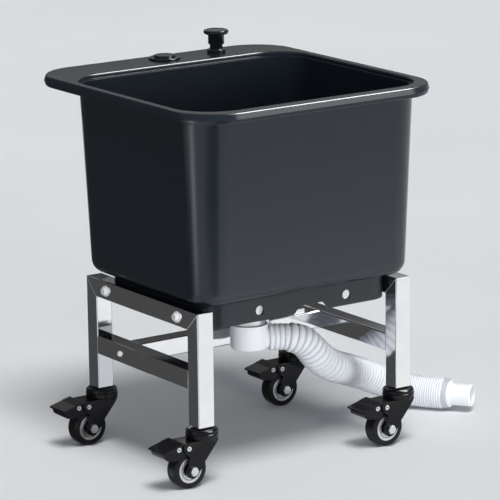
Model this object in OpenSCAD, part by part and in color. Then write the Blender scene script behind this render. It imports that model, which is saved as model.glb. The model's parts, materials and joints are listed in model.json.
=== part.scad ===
// Utility sink on a wheeled stand.
// A deep moulded tub sits on two side frames of square steel tube that a crossbar joins.
// Four swivel casters with brake pedals carry the frames.
// A pull knob on the rear deck lifts the drain plug, and a ribbed hose leads the water away.
// All sizes are in millimetres. X runs to the right, Y to the back and Z up.
// The origin is on the floor, under the middle of the whole outline without the hose.

/* [Part] */
// Piece to draw

/* [Tub] */
// Width of the basin's mouth
opening_w = 366; // [340:2:400]
// Depth of the basin's mouth from front to back
opening_d = 330; // [310:2:360]
// Width of the rim at each side
rim_side_w = 15; // [12:0.5:19]
// Width of the rim at the front
rim_front_w = 22; // [16:0.5:28]
// Width of the flat deck behind the mouth
deck_w = 72; // [64:1:92]
// Height of the rim above the rails' top
tub_h = 268; // [220:2:320]
// Wall thickness of the moulding
wall = 3.2; // [2.4:0.1:4.2]
// Corner radius of the rim's outline
rim_corner_r = 65; // [50:1:80]
// Corner radius of the mouth
mouth_corner_r = 57; // [45:1:68]
// Depth of the turned-down rim
rim_skirt_h = 14; // [10:0.5:20]
// How far the lower band of the turned-down rim is set back
rim_step = 1.5; // [0.8:0.1:2.2]
// Radius of the rim's upper edge
rim_edge_r = 2.5; // [1.5:0.1:3]
// Radius of the mouth's upper edge
lip_edge_r = 3; // [1.5:0.5:3]
// Depth of the lid ledge below the rim
ledge_drop = 6; // [4:0.5:12]
// Width of the lid ledge at each side
ledge_side_w = 3; // [2:0.5:6]
// Width of the lid ledge at the front and back
ledge_front_w = 9.5; // [6:0.5:13]
// How far each wall leans in from the ledge to the floor
draft = 10.5; // [7:0.5:14]
// Outer corner radius of the walls at the floor
wall_corner_r = 39; // [32:1:48]
// Outer radius between wall and floor
floor_edge_r = 18; // [12:0.5:20]
// Gap between the rails' top and the tub's floor
floor_up = 6; // [3:0.5:10]
// Depth of the foot ring below the rails' top
foot_h = 27; // [24:0.5:34]
// Outside width of the foot ring
foot_w = 295; // [275:1:300]
// Outside depth of the foot ring
foot_d = 250; // [230:1:270]
// Outer corner radius of the foot ring
foot_corner_r = 30; // [20:1:40]
// Diameter of the round holes in the foot ring's front
foot_hole_d = 12.5; // [10:0.5:16]
// Distance between the two round holes
foot_hole_gap = 140; // [120:2:170]
// Sideways position of the middle between the two round holes
foot_hole_x = 3; // [-10:1:10]
// Width of the notch in the foot ring's front at its lower edge
notch_w = 75; // [60:1:90]
// Width of the notch at its top
notch_top_w = 37; // [25:1:50]
// Height of the notch
notch_h = 10.5; // [6:0.5:14]
// Sideways position of the notch from the middle
notch_x = 16; // [0:1:24]

/* [Stand] */
// Side of the square tube
tube = 25; // [20:1:30]
// Wall of the square tube
tube_wall = 1.2; // [0.8:0.1:2]
// Radius along the tube's edges
tube_edge_r = 2; // [1:0.1:3]
// Height of the rails' top above the legs' lower ends
frame_h = 153; // [140:1:180]
// Distance from the front legs' middle to the rear legs' middle
leg_pitch_y = 246; // [236:1:280]
// Height of the lower rails above the legs' lower ends
lower_rail_up = 48; // [36:1:64]
// Distance of the crossbar behind the middle of the stand
crossbar_y = 54; // [40:1:70]
// Thickness of the crossbar's welded end plates
crossbar_end_t = 3; // [2:0.5:5]

/* [Screws] */
// Shank diameter of the tub bolts
tub_bolt_d = 6; // [5:0.5:7]
// Head diameter of the tub bolts
tub_bolt_head_d = 15; // [12:0.5:17]
// Head height of the tub bolts
tub_bolt_head_h = 5; // [3:0.5:6]
// Distance from the front tub bolt to the rear one
tub_bolt_pitch = 174; // [160:1:178]
// Distance of the tub bolts below the rails' top
tub_bolt_drop = 12.5; // [11.5:0.5:14]
// Width across the corners of the tub bolts' nuts
tub_nut_d = 11.5; // [10:0.5:12.5]
// Height of the tub bolts' nuts
tub_nut_h = 5; // [4:0.5:6]
// Shank diameter of the crossbar bolts
crossbar_bolt_d = 5; // [4:0.5:6]
// Head diameter of the crossbar bolts
crossbar_bolt_head_d = 8.5; // [7.5:0.5:11]
// Head height of the crossbar bolts
crossbar_bolt_head_h = 3; // [2:0.5:4]

/* [Casters] */
// Wheel diameter
wheel_d = 50; // [46:1:54]
// Wheel width over the tyre
wheel_w = 20; // [17:0.5:22]
// Diameter of the wheel's hub inside the tyre
hub_d = 35; // [31:0.5:38]
// Diameter of the hub's dark middle inside the bright ring
hub_mid_d = 21; // [18:0.5:24]
// Distance of the axle behind the swivel's axis
trail = 25; // [23:0.5:27]
// Height of the caster up to the leg
caster_h = 79; // [77:0.5:88]
// Gap from the tyre up to the fork's crown
crown_gap = 10.5; // [9.5:0.5:12]
// Thickness of the fork's crown
crown_t = 3; // [2:0.1:3.4]
// Thickness of the fork's side plates
fork_t = 2.5; // [1.5:0.1:3]
// Width of the fork over its side plates
fork_w = 32; // [29:0.5:34]
// Diameter of the swivel head
swivel_d = 43.5; // [38:0.5:46]
// Diameter of the axle bolt
axle_d = 8; // [6:0.5:9]
// Width across the corners of the axle bolt's head
axle_head_d = 12.5; // [11:0.5:14]
// Height of the axle bolt's head
axle_head_h = 4.5; // [3:0.5:5.5]
// Diameter of the caster's stem
stem_d = 10; // [8:0.5:12]
// Length of the stem inside the leg
stem_in_leg = 19; // [14:1:24]
// Diameter of the stem's rivet head under the crown
stem_head_d = 16; // [13:0.5:18]
// Thickness of the stem's rivet head
stem_head_t = 2.5; // [1.5:0.1:3]
// Diameter of the round collar below the leg
plug_collar_d = 24; // [20:0.5:25]
// Thickness of the round collar below the leg
plug_collar_t = 2; // [1:0.1:3]

/* [Brakes] */
// Distance of the pedal's tip from the swivel's axis
pedal_reach = 72; // [68:0.5:78]
// Width of the pedal
pedal_w = 37; // [35:0.5:42]
// Thickness of the pedal's plate
pedal_t = 2.4; // [1.6:0.1:3]
// Diameter of the rivets
rivet_d = 4; // [3:0.5:5]
// Diameter of the rivets' heads
rivet_head_d = 6.5; // [5.8:0.1:7.4]
// Thickness of the rivets' heads
rivet_head_t = 1; // [0.6:0.1:1.6]

/* [Deck] */
// Sideways position of the tap-hole cover
cover_x = 4; // [-40:1:30]
// Diameter of the tap-hole cover
cover_d = 44; // [40:1:50]
// Diameter of the raised middle of the cover
cover_top_d = 30; // [24:1:36]
// Thickness of the cover's flange
cover_t = 3; // [2:0.5:5]
// Height of the raised middle
cover_top_h = 3; // [1:0.5:5]
// Diameter of the tap hole
tap_hole_d = 34; // [30:1:36]
// Sideways position of the pull knob
knob_x = 90; // [70:1:120]
// Diameter of the knob's head
knob_head_d = 35; // [28:1:40]
// Thickness of the knob's head
knob_head_h = 6.5; // [5:0.5:9]
// Outer diameter of the knob's sleeve
knob_sleeve_d = 22.5; // [21.5:0.5:25]
// Length of the knob's sleeve
knob_sleeve_h = 14.2; // [12:0.2:18]
// Height of the knob above its flange as photographed
knob_raise = 7.1; // [6:0.1:9]
// Diameter of the bush's flange on the deck
bush_flange_d = 26; // [25.5:0.5:30]
// Thickness of the bush's flange
bush_flange_t = 4.7; // [3:0.1:6]
// Diameter of the bush's collar that guides the sleeve
bush_collar_d = 18; // [16:0.5:19]
// Diameter of the knob's rod
rod_d = 6; // [5:0.5:7]
// Length of the bush below the deck
bush_tail = 22; // [18:1:30]
// Height of the hex nut on the bush
bush_nut_h = 7; // [5:0.5:10]
// Width across the corners of the hex nut on the bush
bush_nut_d = 31; // [28:0.5:34]
// Diameter of the cover's threaded stud
stud_d = 10; // [8:0.5:12]
// Height of the wing nut under the cover
wing_nut_h = 12; // [10:0.5:15]
// Diameter of the wing nut's flange
wing_nut_d = 42; // [38:1:46]

/* [Drain] */
// Diameter of the drain's flange in the basin
drain_flange_d = 70; // [60:1:80]
// Thickness of the drain's flange
drain_flange_t = 2.5; // [1.5:0.1:3]
// Outer diameter of the drain's pipe
drain_pipe_d = 44; // [42:0.5:46]
// Wall of the drain's pipe
drain_pipe_wall = 2.4; // [1.8:0.1:3]
// Height of the pipe's lower end above the floor of the cup
drain_pipe_up = 25; // [23:0.5:28]
// Outer diameter of the cup
cup_d = 51; // [49:0.5:54]
// Height of the cup
cup_h = 35; // [34:0.5:38]
// Height of the cup's underside above the ground
cup_z = 131; // [128:0.5:132]
// Thickness of the cup's floor
cup_floor_t = 3; // [2:0.5:4]
// How far the cup's upper lip stands out
cup_lip = 0.7; // [0.3:0.1:1.5]
// Outer diameter of the cup's outlet
outlet_d = 31; // [29.5:0.1:32]
// Wall of the cup's outlet
outlet_wall = 2.2; // [1.6:0.1:3]
// Diameter of the plug
plug_d = 38; // [34:0.5:38.5]
// Thickness of the plug
plug_t = 4; // [3:0.5:6]
// Outer diameter of the lift cable's sheath
cable_d = 6; // [5:0.5:7]
// Height of the cable's level run above the ground
cable_z = 190; // [184:1:196]
// Bend radius of the cable
cable_bend_r = 24; // [18:1:40]

/* [Hose] */
// Outer diameter of the hose over its ribs
hose_d = 45; // [41:0.5:45.5]
// Depth of the wide ribs in the bend
rib_depth = 2.6; // [1.5:0.1:4]
// Depth of the fine ribs
fine_depth = 1.2; // [0.8:0.1:2]
// Diameter of the bore
hose_bore_d = 28; // [26:0.5:29]
// Outer diameter of the neck on the drain, between its rings
hose_end_d = 34; // [32:0.5:37]
// Length of the neck on the drain
hose_end_len = 27; // [22:0.5:34]
// Height of the neck's rings
neck_ring_h = 1.6; // [1:0.1:3]
// Pitch of the neck's rings
neck_pitch = 5.4; // [4.5:0.1:7]
// How much smaller the first rib's radius is than that of the ribs in the bend
first_rib_less = 2; // [0:0.5:3]
// Pitch of the wide ribs
wide_pitch = 15.5; // [12:0.5:19]
// Distance along the hose where the wide ribs end
wide_end = 186; // [160:2:220]
// Pitch of the fine ribs
fine_pitch = 3.6; // [3:0.1:5]
// Length of the end cuff
cuff_len = 34; // [28:1:40]
// Outer diameter of the end cuff
cuff_d = 31; // [29:0.5:34]
// Wall of the end cuff
cuff_wall = 2.4; // [1.8:0.1:3]
// Diameter of the cuff's collar on the hose
cuff_collar_d = 38; // [36:0.5:42]
// Thickness of the cuff's collar
cuff_collar_t = 4; // [3:0.5:6]

/* [Hidden] */

$fn = 48;
// Radial clearance of what turns or slides on another piece
run_gap = 0.05;
// Clearance of what is seated in another piece of the same body
seat_gap = 0.1;
// Clearance between faces that move past each other
face_gap = 0.3;
// Overlap that makes a cut run clear of a face
cut = 1;

tub_colour = [0.24, 0.25, 0.28];
steel_colour = [0.85, 0.86, 0.87];
white_colour = [0.9, 0.91, 0.93];
black_colour = [0.08, 0.08, 0.09];
bright_colour = [0.75, 0.76, 0.78];
rubber_colour = [0.12, 0.12, 0.12];

// Stand
leg_x = (foot_w + tube) / 2;
leg_y = leg_pitch_y / 2;
rail_top = caster_h + frame_h;
lower_rail_z = caster_h + lower_rail_up;
tube_in = tube - 2 * tube_wall;
rail_in_x = leg_x - tube / 2;
rail_out_x = leg_x + tube / 2;
bolt_z = rail_top - tub_bolt_drop;
bolt_y = tub_bolt_pitch / 2;

// Tub
tub_w = opening_w + 2 * rim_side_w;
rim_z = rail_top + tub_h;
rim_front_y = opening_d / 2 + rim_front_w;
rim_rear_y = opening_d / 2 + deck_w;
// Middle of the deck between the mouth's round edge and the rear
deck_y = (opening_d / 2 + lip_edge_r + rim_rear_y) / 2;
ledge_z = rim_z - ledge_drop;
floor_low = rail_top + floor_up;
floor_z = floor_low + wall;
// Corner centres of the walls, and the walls' outer offset from them
wall_top_x = opening_w / 2 - ledge_side_w + wall;
wall_top_y = opening_d / 2 - ledge_front_w + wall;
wall_cx = wall_top_x - draft - wall_corner_r;
wall_cy = wall_top_y - draft - wall_corner_r;
wall_top_r = wall_corner_r + draft;

// The stand's middle, seen from the middle of the whole outline
stand_x = (leg_x + pedal_reach - tub_w / 2) / 2;
stand_y = (rim_front_y - rim_rear_y) / 2;

// Casters, seen from the swivel's axis on the floor
wheel_r = wheel_d / 2;
crown_z = wheel_d + crown_gap;
crown_top = crown_z + crown_t;
head_z = crown_top + face_gap;
head_top = caster_h - plug_collar_t;
fork_in = fork_w / 2 - fork_t;
pivot = [-trail - 5.8, crown_z - 4.1];
tip_rivet = [-trail - 21.6, crown_z - 2.9];

// Drain
cup_top = cup_z + cup_h;
pipe_bottom = cup_z + drain_pipe_up;
pipe_r = drain_pipe_d / 2;
pipe_in_r = pipe_r - drain_pipe_wall;
flange_top = floor_z + drain_flange_t;
gasket_t = 2.8;
nut_h = 14;
guide_z = floor_low - 8;
// Lowest position of the knob below the photographed one, and that of the plug
knob_down = knob_raise - face_gap - 0.3;

// Hose: hand-chosen points of its middle line, on the floor near its end
route = [[41, -37, 145], [63, -48, 145], [72, -52, 142], [88, -55, 137], [107, -55, 113],
    [123, -43, 102], [139, -44, 91], [166, -25, 79], [197, -11, 67], [227, -6, 54],
    [257, -9, 40], [284, -17, 27], [302, -32, 23], [314, -49, 23], [327, -67, 23]];
hose_sides = 8;
steps_per_point = 6;
first = route[0];
last = route[len(route) - 1];
// The route with one more point before and after it
guide = concat([2 * route[0] - route[1]], route, [2 * last - route[len(route) - 2]]);
function weight(t) = [pow(1 - t, 3), 3 * pow(t, 3) - 6 * t * t + 4,
    -3 * pow(t, 3) + 3 * t * t + 3 * t + 1, pow(t, 3)] / 6;
function on_curve(i, t) = weight(t)[0] * guide[i] + weight(t)[1] * guide[i + 1]
    + weight(t)[2] * guide[i + 2] + weight(t)[3] * guide[i + 3];
curve = concat([for (i = [0 : len(route) - 2], j = [0 : steps_per_point - 1])
    on_curve(i, j / steps_per_point)], [last]);
function run_lengths(i, sum) = i == len(curve) ? [] :
    let (next = i == 0 ? 0 : sum + norm(curve[i] - curve[i - 1])) concat([next], run_lengths(i + 1, next));
runs = run_lengths(0, 0);
hose_len = runs[len(runs) - 1];
function along(s) = [for (k = [0 : 2]) lookup(s, [for (i = [0 : len(curve) - 1]) [runs[i], curve[i][k]]])];
function unit(v) = v / norm(v);
function heading(s) = s < 2 ? unit(route[1] - route[0]) :
    s > hose_len - 2 ? unit(last - route[len(route) - 2]) : unit(along(s + 2) - along(s - 2));
function ring(s, r) = let (d = heading(s), side = unit(cross([0, 0, 1], d)), up = cross(d, side), middle = along(s))
    [for (k = [0 : hose_sides - 1]) let (a = 360 * (k + 0.5) / hose_sides)
        middle + r * cos(a) * side + r * sin(a) * up];
// Ribs are wide and deep in the bend and fine after it; the first few grow to the full diameter
function pitch_at(s) = s < wide_end ? wide_pitch : fine_pitch;
function depth_at(s) = s < wide_end ? rib_depth : fine_depth;
function crest_at(s) = hose_d / 2 - max(0, first_rib_less * (1 - (s - hose_end_len) / (3 * wide_pitch)));
// Where each rib starts, from the neck on
function rib_starts(s) = let (next = s + pitch_at(s))
    next > hose_len - fine_pitch ? [s] : concat([s], rib_starts(next));
ribs = rib_starts(hose_end_len);
end_reach = norm([first[0] - stand_x, first[1] - stand_y]);
outlet_turn = atan2(first[1] - stand_y, first[0] - stand_x);
end_heading = unit(last - route[len(route) - 2]);
end_turn = atan2(end_heading[1], end_heading[0]);

// Places what follows at the middle of the stand, on the floor
module at_stand() {
    translate([stand_x, stand_y, 0]) children();
}

// Places what follows at one caster's swivel axis: sx is -1 left or 1 right, sy is -1 front or 1 rear
module at_caster(sx, sy) {
    translate([stand_x + sx * leg_x, stand_y + sy * leg_y, 0]) children();
}

// Places what follows at all four casters
module at_all_casters() {
    for (sx = [-1, 1], sy = [-1, 1]) at_caster(sx, sy) children();
}

// Rectangle with round corners, from its half sizes
module round_rect(hx, hy, r) {
    square([2 * hx, 2 * (hy - r)], center = true);
    square([2 * (hx - r), 2 * hy], center = true);
    for (sx = [-1, 1], sy = [-1, 1]) translate([sx * (hx - r), sy * (hy - r)]) circle(r = r);
}

// Carries a wall section round a rectangle: cx, y0 and y1 are the corners' centres
module carried_round(cx, y0, y1) {
    translate([cx, y1, 0]) rotate_extrude(angle = 90) children();
    translate([-cx, y1, 0]) rotate([0, 0, 90]) rotate_extrude(angle = 90) children();
    translate([-cx, y0, 0]) rotate([0, 0, 180]) rotate_extrude(angle = 90) children();
    translate([cx, y0, 0]) rotate([0, 0, 270]) rotate_extrude(angle = 90) children();
    translate([cx, y1, 0]) rotate([90, 0, 0]) linear_extrude(height = y1 - y0) children();
    translate([-cx, y0, 0]) rotate([90, 0, 180]) linear_extrude(height = y1 - y0) children();
    translate([-cx, y1, 0]) rotate([90, 0, 90]) linear_extrude(height = 2 * cx) children();
    translate([cx, y0, 0]) rotate([90, 0, -90]) linear_extrude(height = 2 * cx) children();
}

// Turned-down rim in two bands with a round upper edge; x is measured from the corners' centres
module rim_section() {
    r = rim_corner_r;
    translate([r - rim_edge_r, rim_z - rim_edge_r]) intersection() {
        circle(r = rim_edge_r);
        square(rim_edge_r);
    }
    translate([r - wall - 4, rim_z - wall]) square([wall + 4 - rim_edge_r, wall]);
    translate([r - wall, rim_z - rim_skirt_h / 2]) square([wall, rim_skirt_h / 2 - rim_edge_r]);
    translate([r - wall - rim_step, rim_z - rim_skirt_h]) square([wall, rim_skirt_h / 2 + 1]);
}

// Round upper edge of the mouth; x is measured from the corners' centres
module lip_section() {
    translate([mouth_corner_r + lip_edge_r, rim_z - lip_edge_r]) intersection() {
        circle(r = lip_edge_r);
        translate([-lip_edge_r, 0]) square(lip_edge_r);
    }
}

// Leaning wall and the round edge to the floor; x is measured from the corners' centres
module wall_section() {
    polygon([[wall_corner_r, floor_low + floor_edge_r], [wall_top_r, ledge_z - wall],
        [wall_top_r, ledge_z], [wall_top_r - wall, ledge_z], [wall_top_r - wall, ledge_z - wall],
        [wall_corner_r - wall, floor_low + floor_edge_r]]);
    translate([wall_corner_r - floor_edge_r, floor_low + floor_edge_r]) intersection() {
        difference() {
            circle(r = floor_edge_r);
            circle(r = floor_edge_r - wall);
        }
        translate([0, -floor_edge_r]) square(floor_edge_r);
    }
}

module tub_outline() {
    cy = (rim_rear_y - rim_front_y) / 2;
    translate([0, cy]) round_rect(tub_w / 2, (rim_rear_y + rim_front_y) / 2, rim_corner_r);
}

module tub_rim() {
    cx = tub_w / 2 - rim_corner_r;
    mx = opening_w / 2 - mouth_corner_r;
    my = opening_d / 2 - mouth_corner_r;
    hole_r = mouth_corner_r + lip_edge_r;
    carried_round(cx, -rim_front_y + rim_corner_r, rim_rear_y - rim_corner_r) rim_section();
    carried_round(mx, -my, my) lip_section();
    translate([0, 0, rim_z - wall]) linear_extrude(height = wall) difference() {
        cy = (rim_rear_y - rim_front_y) / 2;
        inset = wall + 3;
        translate([0, cy])
            round_rect(tub_w / 2 - inset, (rim_rear_y + rim_front_y) / 2 - inset, rim_corner_r - inset);
        round_rect(mx + hole_r, my + hole_r, hole_r);
        translate([cover_x, deck_y]) circle(d = tap_hole_d);
        translate([knob_x, deck_y]) circle(d = bush_collar_d + 2 * seat_gap);
    }
}

// Lip inside the mouth and the flat ledge that a washing board or lid lies on
module tub_ledge() {
    translate([0, 0, ledge_z - wall]) linear_extrude(height = ledge_drop + wall - lip_edge_r) difference() {
        round_rect(opening_w / 2 + wall, opening_d / 2 + wall, mouth_corner_r + wall);
        round_rect(opening_w / 2, opening_d / 2, mouth_corner_r);
    }
    translate([0, 0, ledge_z - wall]) linear_extrude(height = wall) difference() {
        round_rect(opening_w / 2 + 0.5, opening_d / 2 + 0.5, mouth_corner_r + 0.5);
        round_rect(wall_cx + wall_top_r - wall, wall_cy + wall_top_r - wall, wall_top_r - wall);
    }
}

module tub_floor() {
    r = wall_corner_r - floor_edge_r;
    translate([0, 0, floor_low]) linear_extrude(height = wall) difference() {
        round_rect(wall_cx + r, wall_cy + r, r);
        circle(d = drain_pipe_d + 2 * seat_gap);
    }
}

// Foot ring that reaches down between the side rails and takes the bolts
module tub_foot() {
    difference() {
        translate([0, 0, rail_top - foot_h]) linear_extrude(height = foot_h + floor_up + wall / 2) difference() {
            round_rect(foot_w / 2, foot_d / 2, foot_corner_r);
            round_rect(foot_w / 2 - wall, foot_d / 2 - wall, foot_corner_r - wall);
        }
        for (sy = [-1, 1]) translate([0, sy * bolt_y, bolt_z]) rotate([0, 90, 0])
            cylinder(d = tub_bolt_d + 2 * seat_gap, h = foot_w + 2 * cut, center = true);
        for (sx = [-1, 1]) translate([foot_hole_x + sx * foot_hole_gap / 2, -foot_d / 2 - cut, bolt_z])
            rotate([-90, 0, 0]) cylinder(d = foot_hole_d, h = wall + 2 * cut);
        translate([notch_x, wall + cut - foot_d / 2, rail_top - foot_h]) rotate([90, 0, 0])
            linear_extrude(height = wall + 2 * cut) polygon([[-notch_w / 2, -cut], [notch_w / 2, -cut],
                [notch_w / 2, 0], [notch_top_w / 2, notch_h], [-notch_top_w / 2, notch_h], [-notch_w / 2, 0]]);
    }
}

module tub() {
    color(tub_colour) at_stand() union() {
        tub_rim();
        tub_ledge();
        carried_round(wall_cx, -wall_cy, wall_cy) wall_section();
        tub_floor();
        tub_foot();
    }
}

// Square tube with round edges, standing on its lower end
module square_tube(len) {
    linear_extrude(height = len) difference() {
        round_rect(tube / 2, tube / 2, tube_edge_r);
        round_rect(tube_in / 2, tube_in / 2, max(tube_edge_r - tube_wall, 0.2));
    }
}

// Leg with its upper end mitred to meet the upper rail; sy is -1 at the front or 1 at the rear
module leg(sx, sy) {
    color(steel_colour) at_caster(sx, sy) difference() {
        translate([0, 0, caster_h]) square_tube(frame_h);
        translate([0, sy * tube / 2, rail_top]) rotate([sy * 45, 0, 0])
            translate([-tube, -2 * tube, 0]) cube([2 * tube, 4 * tube, 2 * tube]);
    }
}

module leg_front_left() {
    leg(-1, -1);
}

module leg_front_right() {
    leg(1, -1);
}

module leg_rear_left() {
    leg(-1, 1);
}

module leg_rear_right() {
    leg(1, 1);
}

// Upper rail of one side frame, mitred at both ends, with through holes for the tub bolts
module upper_rail(sx) {
    reach = leg_y + tube / 2;
    color(steel_colour) at_stand() translate([sx * leg_x, 0, 0]) difference() {
        translate([0, reach, rail_top - tube / 2]) rotate([90, 0, 0]) square_tube(2 * reach);
        for (sy = [-1, 1]) translate([0, sy * reach, rail_top]) rotate([sy * 45, 0, 0])
            translate([-tube, -2 * tube, -2 * tube]) cube([2 * tube, 4 * tube, 2 * tube]);
        for (sy = [-1, 1]) translate([0, sy * bolt_y, bolt_z]) rotate([0, 90, 0])
            cylinder(d = tub_bolt_d + 2 * seat_gap, h = tube + 2 * cut, center = true);
    }
}

module upper_rail_left() {
    upper_rail(-1);
}

module upper_rail_right() {
    upper_rail(1);
}

// Lower rail of one side frame, welded between the legs, with a hole for the crossbar's bolt
module lower_rail(sx) {
    len = leg_pitch_y - tube;
    color(steel_colour) at_stand() translate([sx * leg_x, 0, lower_rail_z + tube / 2]) difference() {
        translate([0, len / 2, 0]) rotate([90, 0, 0]) square_tube(len);
        translate([0, crossbar_y, 0]) rotate([0, 90, 0])
            cylinder(d = crossbar_bolt_d + 2 * seat_gap, h = tube + 2 * cut, center = true);
    }
}

module lower_rail_left() {
    lower_rail(-1);
}

module lower_rail_right() {
    lower_rail(1);
}

// Crossbar between the lower rails, with a threaded plate welded in each end
module crossbar() {
    len = 2 * rail_in_x;
    color(steel_colour) at_stand() translate([-rail_in_x, crossbar_y, lower_rail_z + tube / 2]) rotate([0, 90, 0]) {
        difference() {
            union() {
                square_tube(len);
                for (z = [0, len - crossbar_end_t]) translate([0, 0, z]) linear_extrude(height = crossbar_end_t)
                    round_rect(tube / 2 - tube_wall / 2, tube / 2 - tube_wall / 2, tube_edge_r);
            }
            translate([0, 0, -cut]) cylinder(d = crossbar_bolt_d + 2 * seat_gap, h = len + 2 * cut);
        }
    }
}

// Cross slot cut into a screw head whose top is at z
module cross_slot(z, size) {
    for (a = [0, 90]) translate([0, 0, z]) rotate([0, 0, a]) cube([size, size / 5, 2], center = true);
}

// Pan-head bolt along Z with its washer, the head's seat at z = 0 and the shank below
module flange_bolt(shank_d, len, head_d, head_h) {
    washer_t = head_h / 4;
    difference() {
        union() {
            translate([0, 0, -len]) cylinder(d = shank_d, h = len + washer_t);
            cylinder(d = head_d, h = washer_t);
            translate([0, 0, washer_t]) cylinder(d1 = head_d * 0.84, d2 = head_d * 0.6, h = head_h - washer_t);
        }
        cross_slot(head_h, head_d * 0.5);
    }
}

// Four bolts through the upper rails into the tub's foot ring
module tub_bolts() {
    color(bright_colour) at_stand() for (sx = [-1, 1], sy = [-1, 1])
        translate([sx * rail_out_x, sy * bolt_y, bolt_z]) rotate([0, sx * 90, 0])
            flange_bolt(tub_bolt_d, tube + wall + tub_nut_h + 2, tub_bolt_head_d, tub_bolt_head_h);
}

// Hex nuts of the tub bolts, inside the foot ring
module tub_bolt_nuts() {
    color(bright_colour) at_stand() for (sx = [-1, 1], sy = [-1, 1])
        translate([sx * (foot_w / 2 - wall), sy * bolt_y, bolt_z]) rotate([0, -sx * 90, 0]) difference() {
            cylinder(d = tub_nut_d, h = tub_nut_h, $fn = 6);
            translate([0, 0, -cut]) cylinder(d = tub_bolt_d + 2 * seat_gap, h = tub_nut_h + 2 * cut);
        }
}

// One bolt through each lower rail into the crossbar's end plate
module crossbar_bolts() {
    color(bright_colour) at_stand() for (sx = [-1, 1])
        translate([sx * rail_out_x, crossbar_y, lower_rail_z + tube / 2]) rotate([0, sx * 90, 0])
            flange_bolt(crossbar_bolt_d, tube + crossbar_end_t + 4, crossbar_bolt_head_d, crossbar_bolt_head_h);
}

// Plastic plug in each leg's lower end, with the socket for the caster's stem
module leg_plugs() {
    side = tube_in / 2 - seat_gap;
    color(black_colour) at_all_casters() difference() {
        union() {
            translate([0, 0, head_top]) cylinder(d = plug_collar_d, h = plug_collar_t);
            translate([0, 0, caster_h]) linear_extrude(height = stem_in_leg + 3) round_rect(side, side, 0.8);
        }
        translate([0, 0, head_top - cut])
            cylinder(d = stem_d + 2 * seat_gap, h = plug_collar_t + stem_in_leg + cut + seat_gap);
    }
}

// Stem of each caster: it is riveted under the fork's crown and pressed up into the leg's plug
module caster_stems() {
    top = caster_h + stem_in_leg;
    low = crown_z - face_gap - stem_head_t;
    color(bright_colour) at_all_casters() union() {
        translate([0, 0, low]) cylinder(d = stem_head_d, h = stem_head_t);
        translate([0, 0, low]) cylinder(d = stem_d, h = top - 1 - low);
        translate([0, 0, top - 1]) cylinder(d1 = stem_d, d2 = stem_d - 2, h = 1);
    }
}

// Round cap over the unused tap hole, with its threaded stud
module tap_hole_cover() {
    color(tub_colour) at_stand() translate([cover_x, deck_y, rim_z]) union() {
        cylinder(d = cover_d, h = cover_t - 1);
        translate([0, 0, cover_t - 1]) cylinder(d1 = cover_d, d2 = cover_d - 2, h = 1);
        cylinder(d = cover_top_d, h = cover_t + cover_top_h - 0.8);
        translate([0, 0, cover_t + cover_top_h - 0.8]) cylinder(d1 = cover_top_d, d2 = cover_top_d - 1.6, h = 0.8);
        translate([0, 0, -wall]) cylinder(d = tap_hole_d - 2 * seat_gap, h = wall);
        translate([0, 0, -wall - wing_nut_h - 4]) cylinder(d = stud_d, h = wing_nut_h + 4);
    }
}

// Wing nut that pulls the tap-hole cover down from under the deck
module tap_hole_nut() {
    color(black_colour) at_stand() translate([cover_x, deck_y, rim_z - wall]) difference() {
        union() {
            translate([0, 0, -4]) cylinder(d = wing_nut_d, h = 4);
            translate([0, 0, -wing_nut_h]) cylinder(d = stud_d + 8, h = wing_nut_h);
            translate([0, 0, -wing_nut_h + 4]) cube([wing_nut_d - 8, 4, 8], center = true);
        }
        translate([0, 0, -wing_nut_h - cut]) cylinder(d = stud_d + 2 * seat_gap, h = wing_nut_h + 2 * cut);
    }
}

// Bush in the deck: a flange, the collar that guides the knob's sleeve, and a threaded tail
module knob_bush() {
    collar_h = bush_flange_t + knob_raise + knob_sleeve_h - knob_down - 2;
    color(tub_colour) at_stand() translate([knob_x, deck_y, rim_z]) difference() {
        union() {
            cylinder(d = bush_flange_d, h = bush_flange_t);
            translate([0, 0, -bush_tail]) cylinder(d = bush_collar_d, h = bush_tail + collar_h);
        }
        translate([0, 0, -bush_tail - cut]) cylinder(d = rod_d + 2 * run_gap, h = bush_tail + collar_h + 2 * cut);
    }
}

// Hex nut under the deck that holds the bush
module knob_bush_nut() {
    color(black_colour) at_stand() translate([knob_x, deck_y, rim_z - wall - bush_nut_h]) difference() {
        cylinder(d = bush_nut_d, h = bush_nut_h, $fn = 6);
        translate([0, 0, -cut]) cylinder(d = bush_collar_d + 2 * seat_gap, h = bush_nut_h + 2 * cut);
    }
}

// Pull knob: crowned head, sleeve over the bush's collar, and the rod to the cable
module pull_knob() {
    low = bush_flange_t + knob_raise;
    head = low + knob_sleeve_h;
    color(tub_colour) at_stand() translate([knob_x, deck_y, rim_z]) {
        difference() {
            rotate_extrude() polygon([[0, low], [knob_sleeve_d / 2 - 0.5, low], [knob_sleeve_d / 2, low + 0.5],
                [knob_sleeve_d / 2, head - 1], [knob_sleeve_d / 2 + 1, head], [knob_head_d / 2 - 1.5, head],
                [knob_head_d / 2, head + 1.5], [knob_head_d / 2, head + knob_head_h - 2.5],
                [knob_head_d / 2 - 0.8, head + knob_head_h - 1.2], [knob_head_d / 2 - 2.5, head + knob_head_h - 0.6],
                [knob_head_d / 4, head + knob_head_h - 0.1], [0, head + knob_head_h]]);
            translate([0, 0, low - cut]) cylinder(d = bush_collar_d + 2 * run_gap, h = knob_sleeve_h + cut);
        }
        translate([0, 0, -bush_tail - 20]) cylinder(d = rod_d, h = bush_tail + 20 + head + 1);
    }
}

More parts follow.
